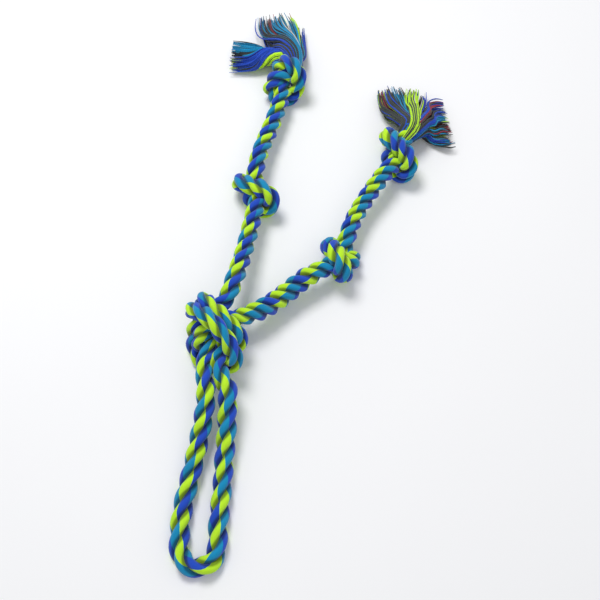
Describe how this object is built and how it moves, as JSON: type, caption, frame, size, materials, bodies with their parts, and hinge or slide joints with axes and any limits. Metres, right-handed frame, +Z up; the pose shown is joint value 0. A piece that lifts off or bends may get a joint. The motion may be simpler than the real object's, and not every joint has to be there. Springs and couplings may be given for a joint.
{
  "type": "rope dog toy",
  "caption": "Tug toy tied from laid rope: a handle loop, a large doubled knot, and arms with overhand knots and frayed tassel ends.",
  "frame": {"origin": "on the plane that the toy lies on, in the flat under the lowest turn of the main knot", "axes": "+Y from the handle loop towards the arms, +Z up from the plane that the toy lies on, +X to the right"},
  "size_m": [0.3278, 0.7274, 0.0717],
  "materials": {
    "rope": "brushed cotton, lime, royal blue and teal",
    "tuft": "loose cotton yarn, blue, teal, grey and lime"
  },
  "bodies": {
    "main_knot": {"main_knot_left_rope": "rope", "main_knot_right_rope": "rope"},
    "handle_loop": {"handle_loop": "rope"},
    "left_arm": {"left_inner_rope": "rope", "left_mid_knot": "rope"},
    "left_outer": {"left_outer_rope": "rope", "left_end_knot": "rope"},
    "left_tassel": {"left_tail": "rope", "left_tuft_1": "tuft", "left_tuft_2": "tuft", "left_tuft_3": "tuft"},
    "right_arm": {"right_inner_rope": "rope", "right_mid_knot": "rope"},
    "right_outer": {"right_outer_rope": "rope", "right_end_knot": "rope"},
    "right_tassel": {"right_tail": "rope", "right_tuft_1": "tuft", "right_tuft_2": "tuft", "right_tuft_3": "tuft"}
  },
  "joints": [
    {"name": "loop_lift", "type": "hinge", "parent": "main_knot", "child": "handle_loop", "pos_m": [0.02197, -0.04548, 0.033], "axis": [-1, 0, 0], "range_deg": [-40, 50]},
    {"name": "left_arm_swing", "type": "hinge", "parent": "main_knot", "child": "left_arm", "pos_m": [0.03495, 0.07288, 0.04154], "axis": [0, 0, 1], "range_deg": [-12, 45]},
    {"name": "left_outer_swing", "type": "hinge", "parent": "left_arm", "child": "left_outer", "pos_m": [0.05916, 0.23744, 0.02684], "axis": [0, 0, 1], "range_deg": [-20, 40]},
    {"name": "left_tassel_swing", "type": "hinge", "parent": "left_outer", "child": "left_tassel", "pos_m": [0.10529, 0.39475, 0.02668], "axis": [0, 0, 1], "range_deg": [-20, 10]},
    {"name": "right_arm_swing", "type": "hinge", "parent": "main_knot", "child": "right_arm", "pos_m": [0.05343, 0.04285, 0.0323], "axis": [0, 0, 1], "range_deg": [-45, 8]},
    {"name": "right_outer_swing", "type": "hinge", "parent": "right_arm", "child": "right_outer", "pos_m": [0.16864, 0.14849, 0.02452], "axis": [0, 0, 1], "range_deg": [-40, 15]},
    {"name": "right_tassel_swing", "type": "hinge", "parent": "right_outer", "child": "right_tassel", "pos_m": [0.24707, 0.29046, 0.02828], "axis": [0, 0, 1], "range_deg": [-15, 20]}
  ]
}
